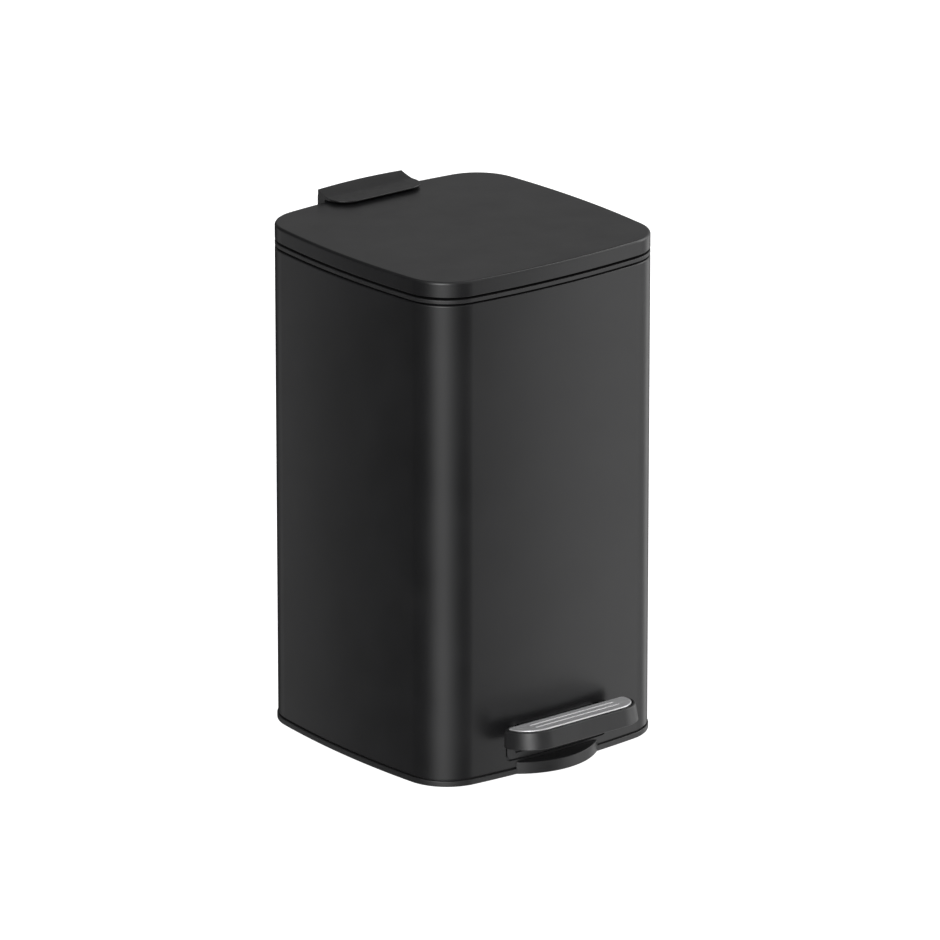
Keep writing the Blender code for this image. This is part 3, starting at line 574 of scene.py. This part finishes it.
def make_pedal_insert():
    top = PLATE_TOP / MM
    section = [(-0.9, top - 1.1), (-0.7, top - 1.0)] + fillet((-1.6, top - 0.9), 0.9, 0, 90, 8) + [(-3, top)]
    mesh = lofted(pedal_loops(section))
    middle = (PLATE_FRONT + PLATE_REAR) / 2 / MM
    ribs = []
    for y in (middle - 2.6, middle + 5.0):
        loops = []
        for turn in range(9):
            angle = turn * pi / 16
            width, rise = 1.2 * cos(angle), 0.64 * sin(angle)
            width = max(width, 0.05)
            reach = 40 + width
            sides = ((y - width) * MM, (y + width) * MM)
            plan = round_box_plan((-reach * MM, reach * MM), sides, width * 0.98 * MM, 8)
            loops.append([(x, yy, (top - 0.2 + rise) * MM) for x, yy in plan])
        ribs.append(lofted(loops))
    return piece(mesh, "pedal_plate", BRUSHED, "pedal", ["pedal_insert"], PEDAL_MATRIX, joins=ribs)


# ---------------------------------------------------------------- hinge cover behind the lid


def make_hinge_cover():
    """The tab: a thin lip over the lid, a dished top, a bowed crest and a wall down behind the lid."""
    half, corner, rear_corner, bow = 42.6, 16.0, 4.5, 520.0
    front, rear = 94.0, body_y(tab_high.y) / MM
    crest_y, crest_z, low = 127.0, 407.5, 386.0
    lip_under, lip_top, dish, blunt = 401.2, 403.2, 112.5, 0.6
    places = [half - corner + corner * sin(turn * pi / 2 / 10) for turn in range(11)]
    places = [-x for x in places[::-1]] + [x * 5.2 for x in range(-4, 5)] + places
    loops = []
    for x in places:
        over = max(abs(x) - (half - corner), 0)
        nose = front + corner - sqrt(max(corner**2 - over**2, 0))
        over = max(abs(x) - (half - rear_corner), 0)
        back = rear - x * x / 2 / bow - rear_corner + sqrt(max(rear_corner**2 - over**2, 0))
        ridge_y = crest_y - x * x / 2 / SIDE_RADIUS * MM
        ridge_z = crest_z - 0.6 * (x / half) ** 2
        back = max(back, ridge_y - 0.4)
        loop = arc(nose + blunt, lip_top - blunt, blunt, pi, pi / 2, 5)
        for turn in range(9):
            part = turn / 8
            run, climb = ridge_y - 0.7 - dish, ridge_z - 0.1 - lip_top
            loop.append((dish + run * part, lip_top + climb * part**1.4))
        loop += [(ridge_y - 0.3, ridge_z), (ridge_y, ridge_z - 0.2), (ridge_y + 0.1, ridge_z - 0.7)]
        loop += [(ridge_y + 0.1, 404.6), (back - 0.3, 402.0), (back, 400.8)]
        loop += [(back, low + 0.8), (back - 0.8, low)]
        loop += [(117.1, low), (116.5, low + 0.6), (116.5, lip_under - 0.5), (116.0, lip_under)]
        loop += [(nose + 2.4, lip_under), (nose + 0.3, lip_top - 1.3)]
        loops.append([(x * (1 - max(y - 100, 0) / 520) * MM, y * MM, z * MM) for y, z in loop])
    mesh = lofted(loops)
    pocket = box_mesh((-30 * MM, 30 * MM), (120.5 * MM, 127 * MM), (380 * MM, 402 * MM))
    knuckles = []
    for inner, outer in ((-39.7 * MM, -34 * MM), (34 * MM, 39.7 * MM)):
        side = [(117.2 * MM, 388 * MM)] + arc(body_y(HINGE.y), HINGE.z, 4.8 * MM, pi, 2 * pi, 24)
        side += [(125 * MM, 388 * MM)]
        knuckles.append(upright(side, inner, outer))
    cuts = [pocket, lathe([(2.8, -42), (2.8, 42)], "x", (0, body_y(HINGE.y), HINGE.z))]
    for x in (-COVER_SCREW_X, COVER_SCREW_X):
        cuts.append(lathe([(1.9, 115), (1.9, 122)], "y", (x * MM, 0, COVER_SCREW_Z * MM), 24))
    return piece(mesh, "hinge_tab", PLASTIC, "lid", ["hinge_cover"], joins=knuckles, cuts=cuts, edge=0.2)


# ---------------------------------------------------------------- bucket and lid's inside


def make_bucket():
    low, high = bucket_low.z / MM, bucket_high.z / MM
    shelf = high - 1.6
    section = [(-36, low), (-33, low + 0.4), (-30.5, low + 1.6), (-28.4, low + 4), (-27, low + 8)]
    section += [(-26.4, low + 14), (-20.1, shelf - 1.4), (-19.8, shelf - 0.5), (-19.2, shelf)]
    section += [(-9.8, shelf)] + fillet((-9.8, shelf + 0.4), 0.4, -60, 0, 2)
    section += fillet((-10.0, high - 0.6), 0.6, 0, 90, 4)
    section += [(-19.6, high), (-20.9, high - 0.5), (-21.6, high - 1.6)]
    section += [(-28.0, low + 14), (-28.6, low + 9), (-29.8, low + 5.6), (-31.6, low + 3), (-34, low + 1.9)]
    section += [(-36, low + 1.6)]
    notch = box_mesh((-11 * MM, 11 * MM), (100.5 * MM, 120 * MM), (370 * MM, 390 * MM))
    grips = []
    for side in (-1, 1):
        spans = sorted((side * 80 * MM, side * 110 * MM))
        plan = round_box_plan((-32 * MM, 32 * MM), (358 * MM, 372 * MM), 6.9 * MM)
        grips.append(upright([(y, z) for y, z in plan], *spans))
    return piece(swept(section, closed=False), "bucket_liner", BUCKET_PLASTIC, "bin_body", ["inner_bucket"],
                 cuts=[notch, *grips])


def make_liner():
    low, face = 388.3, 390.2
    section = [(-30, low), (-14.4, low), (-14.4, 389.3), (-11.6, 389.3), (-11.6, low), (-5.5, low)]
    section += fillet((-5.5, low + 0.5), 0.5, -90, 0, 3)
    section += [(-5, 398.7), (-5.3, 399), (-6.5, 399), (-6.8, 398.7), (-6.8, face), (-30, face)]
    cut = box_mesh((-26 * MM, 26 * MM), (106 * MM, 113 * MM), (390.5 * MM, 400 * MM))
    return piece(swept(section, closed=False), "liner_panel", PLASTIC, "lid", ["lid_liner"], cuts=[cut])


def make_seal():
    section = [(-12, 389.0), (-12, 387.6)] + fillet((-13, 387.6), 1.0, 0, -180, 8) + [(-14, 389.0)]
    return piece(swept(section), "seal_lip", RUBBER, "lid", ["lid_seal"])


# ---------------------------------------------------------------- fasteners, pins, rod and feet


def turned_piece(name, profile, axis, node, look, body, cuts=(), matrix=BODY_MATRIX, across=None, steps=48):
    return piece(lathe(profile, axis, across, steps), name, look, body, [node], matrix, cuts=cuts)


def pan_screw_profile(head, tip):
    """Pan head from its crown to the tip of the shank, in mm along the axis."""
    crown = [(0.2, head), (1.6, head + 0.05), (2.6, head + 0.4)]
    crown += [(3.1, head + 1.0), (3.2, head + 1.5), (3.2, head + 2.1)]
    return crown + [(3.1, head + 2.2), (1.6, head + 2.2), (1.6, tip - 0.8), (0.9, tip)]


def cross_recess(x, y, z, depth):
    """The driver's cross in a screw head, cut along Y."""
    arms = [(2.0, 0.35), (0.35, 2.0)]
    along = (y - 1 * MM, y + depth * MM)
    return [box_mesh((x - a * MM, x + a * MM), along, (z - b * MM, z + b * MM)) for a, b in arms]


def make_rear_screws():
    rows = (
        ("housing_screw", HOUSING_SCREW_X, HOUSING_SCREW_Z, 112.3, 119, "bin_body"),
        ("cover_screw", COVER_SCREW_X, COVER_SCREW_Z, 112.2, 120.2, "lid"),
    )
    for name, spread, z, head, tip, body in rows:
        for side, sign in (("left", -1), ("right", 1)):
            across = (sign * spread * MM, 0, z * MM)
            turned_piece(f"{name}_{side}_turned", pan_screw_profile(head, tip), "y", f"{name}_{side}", ZINC, body,
                         cross_recess(across[0], head * MM, across[2], 1.1), across=across, steps=32)


def make_rivets():
    for level, z in RIVET_LEVELS.items():
        for side, sign in (("left", -1), ("right", 1)):
            profile = [(1.4, 110.6), (1.4, 116.3), (2.7, 116.3), (2.8, 116.45)]
            profile += [(2.6, 116.85), (1.9, 117.15), (0.6, 117.3)]
            turned_piece(f"rivet_{level}_{side}", profile, "y", f"guide_rivet_{level}_{side}", ZINC, "bin_body",
                         across=(sign * RIVET_X * MM, 0, z * MM), steps=32)


def make_pins():
    y, z = body_y(HINGE.y), HINGE.z
    profile = [(2.1, -45.6), (2.5, -45.2), (2.5, 45.2), (2.1, 45.6)]
    turned_piece("hinge_rod", profile, "x", "hinge_pin", ZINC, "bin_body", across=(0, y, z))
    profile = [(2.6, -22), (3.0, -21.6), (3.0, 21.6), (2.6, 22)]
    turned_piece("axle_rod", profile, "x", "pedal_axle", ZINC, "bin_body", across=(0, body_y(PIVOT.y), PIVOT.z))
    profile = [(2.6, -3.6), (3.2, -3.2), (3.2, -2.1), (2.0, -2.1), (2.0, 8.2), (1.7, 8.5)]
    turned_piece("crank_pin_turned", profile, "x", "crank_pin", ZINC, "lid",
                 across=(0, body_y(CRANK_PIN.y), CRANK_PIN.z))


def make_rod():
    low, high = rod_low.z / MM, rod_high.z / MM
    profile = [(1.6, low), (2.0, low + 0.5)]
    thread = low + 0.5
    while thread < low + 13:
        profile += [(2.0, thread), (1.72, thread + 0.35)]
        thread += 0.7
    profile += [(2.0, thread), (2.0, high - 0.4), (1.7, high)]
    turned_piece("rod_shaft", profile, "z", "push_rod", ZINC, "push_rod", across=(0, body_y(ROD_Y), 0), steps=32)


def make_feet():
    for depth, y in (("front", -FOOT_PLACE), ("rear", FOOT_PLACE)):
        for side, x in (("left", -FOOT_PLACE), ("right", FOOT_PLACE)):
            profile = [(2.5, 0.35), (3.2, 0), (6.9, 0), (7.6, 0.15), (8.0, 0.6), (8.0, 1.9)]
            turned_piece(f"foot_pad_{depth}_{side}", profile, "z", f"foot_{depth}_{side}", RUBBER, "bin_body",
                         across=(x * MM, y * MM, 0))


def make_bumpers():
    for depth, y in (("front", -107), ("rear", 107)):
        for side, x in (("left", -60), ("right", 60)):
            profile = [(0.5, 386.4), (1.6, 386.5), (2.2, 386.9), (2.4, 387.4), (2.4, 388.0)]
            turned_piece(f"bumper_{depth}_{side}", profile, "z", f"lid_bumper_{depth}_{side}", RUBBER, "lid",
                         across=(x * MM, y * MM, 0), steps=32)


def refine_cad_nodes():
    """CAD nodes whose shape is right keep it: they get their material and a small round on every edge."""
    rounds = {
        "hinge_housing": 0.7,
        "pedal_lever": 0.3,
        "lid_crank": 0.3,
        "rod_yoke": 0.4,
        "rod_guide_lower": 0.5,
        "rod_guide_upper": 0.5,
        "rod_nut_lower": 0.25,
        "rod_nut_upper": 0.25,
    }
    for record in frame["record"]["subparts"]:
        node = NODES[record["node"]]
        if node.hide_render:
            continue
        node.data.materials.clear()
        node.data.materials.append(LOOK_OF[record["material_slot"]])
        node.data.shade_smooth()
        node.data.set_sharp_from_angle(angle=radians(30))
        modifier = node.modifiers.new("edges", "BEVEL")
        modifier.width = rounds.get(node.name, 0.2) * MM
        modifier.segments = 2
        modifier.limit_method = "ANGLE"
        modifier.angle_limit = radians(40)


# ---------------------------------------------------------------- studio and camera


FLOOR_GLOW = 0.95


def make_floor():
    bm = bmesh.new()
    bmesh.ops.create_grid(bm, x_segments=1, y_segments=1, size=12)
    floor = bpy.data.objects.new("studio_floor", as_mesh(bm, outward=False))
    bpy.context.scene.collection.objects.link(floor)
    look = bpy.data.materials.new("studio_white")
    look.use_nodes = True
    shader = look.node_tree.nodes["Principled BSDF"]
    shader.inputs["Base Color"].default_value = (0.5, 0.5, 0.5, 1)
    shader.inputs["Roughness"].default_value = 0.9
    shader.inputs["Specular IOR Level"].default_value = 0.0
    shader.inputs["Emission Color"].default_value = (1, 1, 1, 1)
    shader.inputs["Emission Strength"].default_value = FLOOR_GLOW
    floor.data.materials.append(look)
    floor.visible_glossy = False


def make_camera():
    azimuth, elevation, distance = radians(-38.74), radians(18.788), 6.6595
    back = Vector((sin(azimuth) * cos(elevation), -cos(azimuth) * cos(elevation), sin(elevation)))
    target = Vector((7.52 * MM, BODY_Y, 203.6 * MM))
    data = bpy.data.cameras.new("camera")
    data.lens = 334.0
    data.sensor_width = 36
    data.clip_end = 100
    camera = bpy.data.objects.new("camera", data)
    camera.location = target + back * distance
    camera.rotation_mode = "QUATERNION"
    camera.rotation_quaternion = (-back).to_track_quat("-Z", "Y")
    bpy.context.scene.collection.objects.link(camera)
    bpy.context.scene.camera = camera


# Studio lights as the object sees them: azimuth and half width in degrees, brightness.
HORIZON_GLOW = 0.0  # no even glow at the horizon: its lights alone
HORIZON_LIGHTS = {
    "front left box": (225, 44, 1.05),
    "front right box": (318, 36, 1.28),
    "right fill": (346, 50, 0.24),
    "rear right fill": (8, 32, 0.28),
    "right rim strip": (14, 18, 1.0),
    "rear left strip": (110, 31, 0.40),
}
RAISED_GLOW = 0.04
RAISED_LIGHTS = {
    "broad right fill": (335, 100, 1.0),
    "high right box": (342, 28, 2.6),
    "high left box": (218, 28, 8.2),
    "rear fill": (58, 50, 0.12),
}
HIGH_GLOW = 0.12
HIGH_LIGHTS = {
    "high front fill": (230, 130, 0.3),
    "high right box": (350, 27, 3.6),
    "high front key": (212, 30, 2.4),
}
CEILING = 0.7


class Sky:
    """The world's shader: rings of soft lights at three heights and a ceiling, blended by elevation."""

    def __init__(self, world):
        self.tree = world.node_tree
        direction = self.node("ShaderNodeTexCoord").outputs["Generated"]
        parts = self.node("ShaderNodeSeparateXYZ")
        self.tree.links.new(direction, parts.inputs["Vector"])
        self.azimuth = self.maths("ARCTAN2", parts.outputs["Y"], parts.outputs["X"])
        self.elevation = self.maths("ARCSINE", parts.outputs["Z"])

    def node(self, kind, **settings):
        made = self.tree.nodes.new(kind)
        for key, value in settings.items():
            setattr(made, key, value)
        return made

    def maths(self, operation, *values):
        made = self.node("ShaderNodeMath", operation=operation)
        for socket, value in zip(made.inputs, values):
            if isinstance(value, bpy.types.NodeSocket):
                self.tree.links.new(value, socket)
            else:
                socket.default_value = value
        return made.outputs[0]

    def ramp(self, source, start, end, height=1.0, smooth="LINEAR"):
        made = self.node("ShaderNodeMapRange", interpolation_type=smooth)
        for name, value in (("From Min", start), ("From Max", end), ("To Min", 0.0), ("To Max", height)):
            made.inputs[name].default_value = value
        self.tree.links.new(source, made.inputs["Value"])
        return made.outputs["Result"]

    def ring(self, glow, lights):
        """An even glow with soft-edged lights round the horizon."""
        total = glow
        for azimuth, half_width, brightness in lights.values():
            away = self.maths("WRAP", self.maths("SUBTRACT", self.azimuth, radians(azimuth)), pi, -pi)
            light = self.ramp(self.maths("ABSOLUTE", away), radians(half_width), 0.0, brightness, "SMOOTHSTEP")
            total = self.maths("ADD", light, total)
        return total

    def above(self, lower, upper, start, end):
        """Blends from one brightness to another between two elevations in degrees."""
        share = self.ramp(self.elevation, radians(start), radians(end))
        rise = self.maths("SUBTRACT", upper, lower)
        return self.maths("MULTIPLY_ADD", rise, share, lower)


def make_world():
    world = bpy.data.worlds.new("studio")
    world.use_nodes = True
    bpy.context.scene.world = world
    sky = Sky(world)
    horizon = sky.ring(HORIZON_GLOW, HORIZON_LIGHTS)
    light = sky.above(horizon, sky.ring(RAISED_GLOW, RAISED_LIGHTS), -14, 8)
    light = sky.above(light, sky.ring(HIGH_GLOW, HIGH_LIGHTS), 20, 50)
    light = sky.above(light, CEILING, 50, 80)
    # The backdrop itself is plain white.
    seen = sky.node("ShaderNodeLightPath").outputs["Is Camera Ray"]
    light = sky.maths("MAXIMUM", light, seen)
    world.node_tree.links.new(light, world.node_tree.nodes["Background"].inputs["Strength"])
    world.node_tree.nodes["Background"].inputs["Color"].default_value = (1.0, 1.0, 1.0, 1)


make_camera()
make_shell()
make_lid()
make_collar()
make_base()
make_slot_frame()
make_pedal_cover()
make_pedal_insert()
make_hinge_cover()
make_bucket()
make_liner()
make_seal()
make_rear_screws()
make_rivets()
make_pins()
make_rod()
make_feet()
make_bumpers()
refine_cad_nodes()
make_floor()
make_world()
bpy.context.scene.view_settings.view_transform = "Standard"
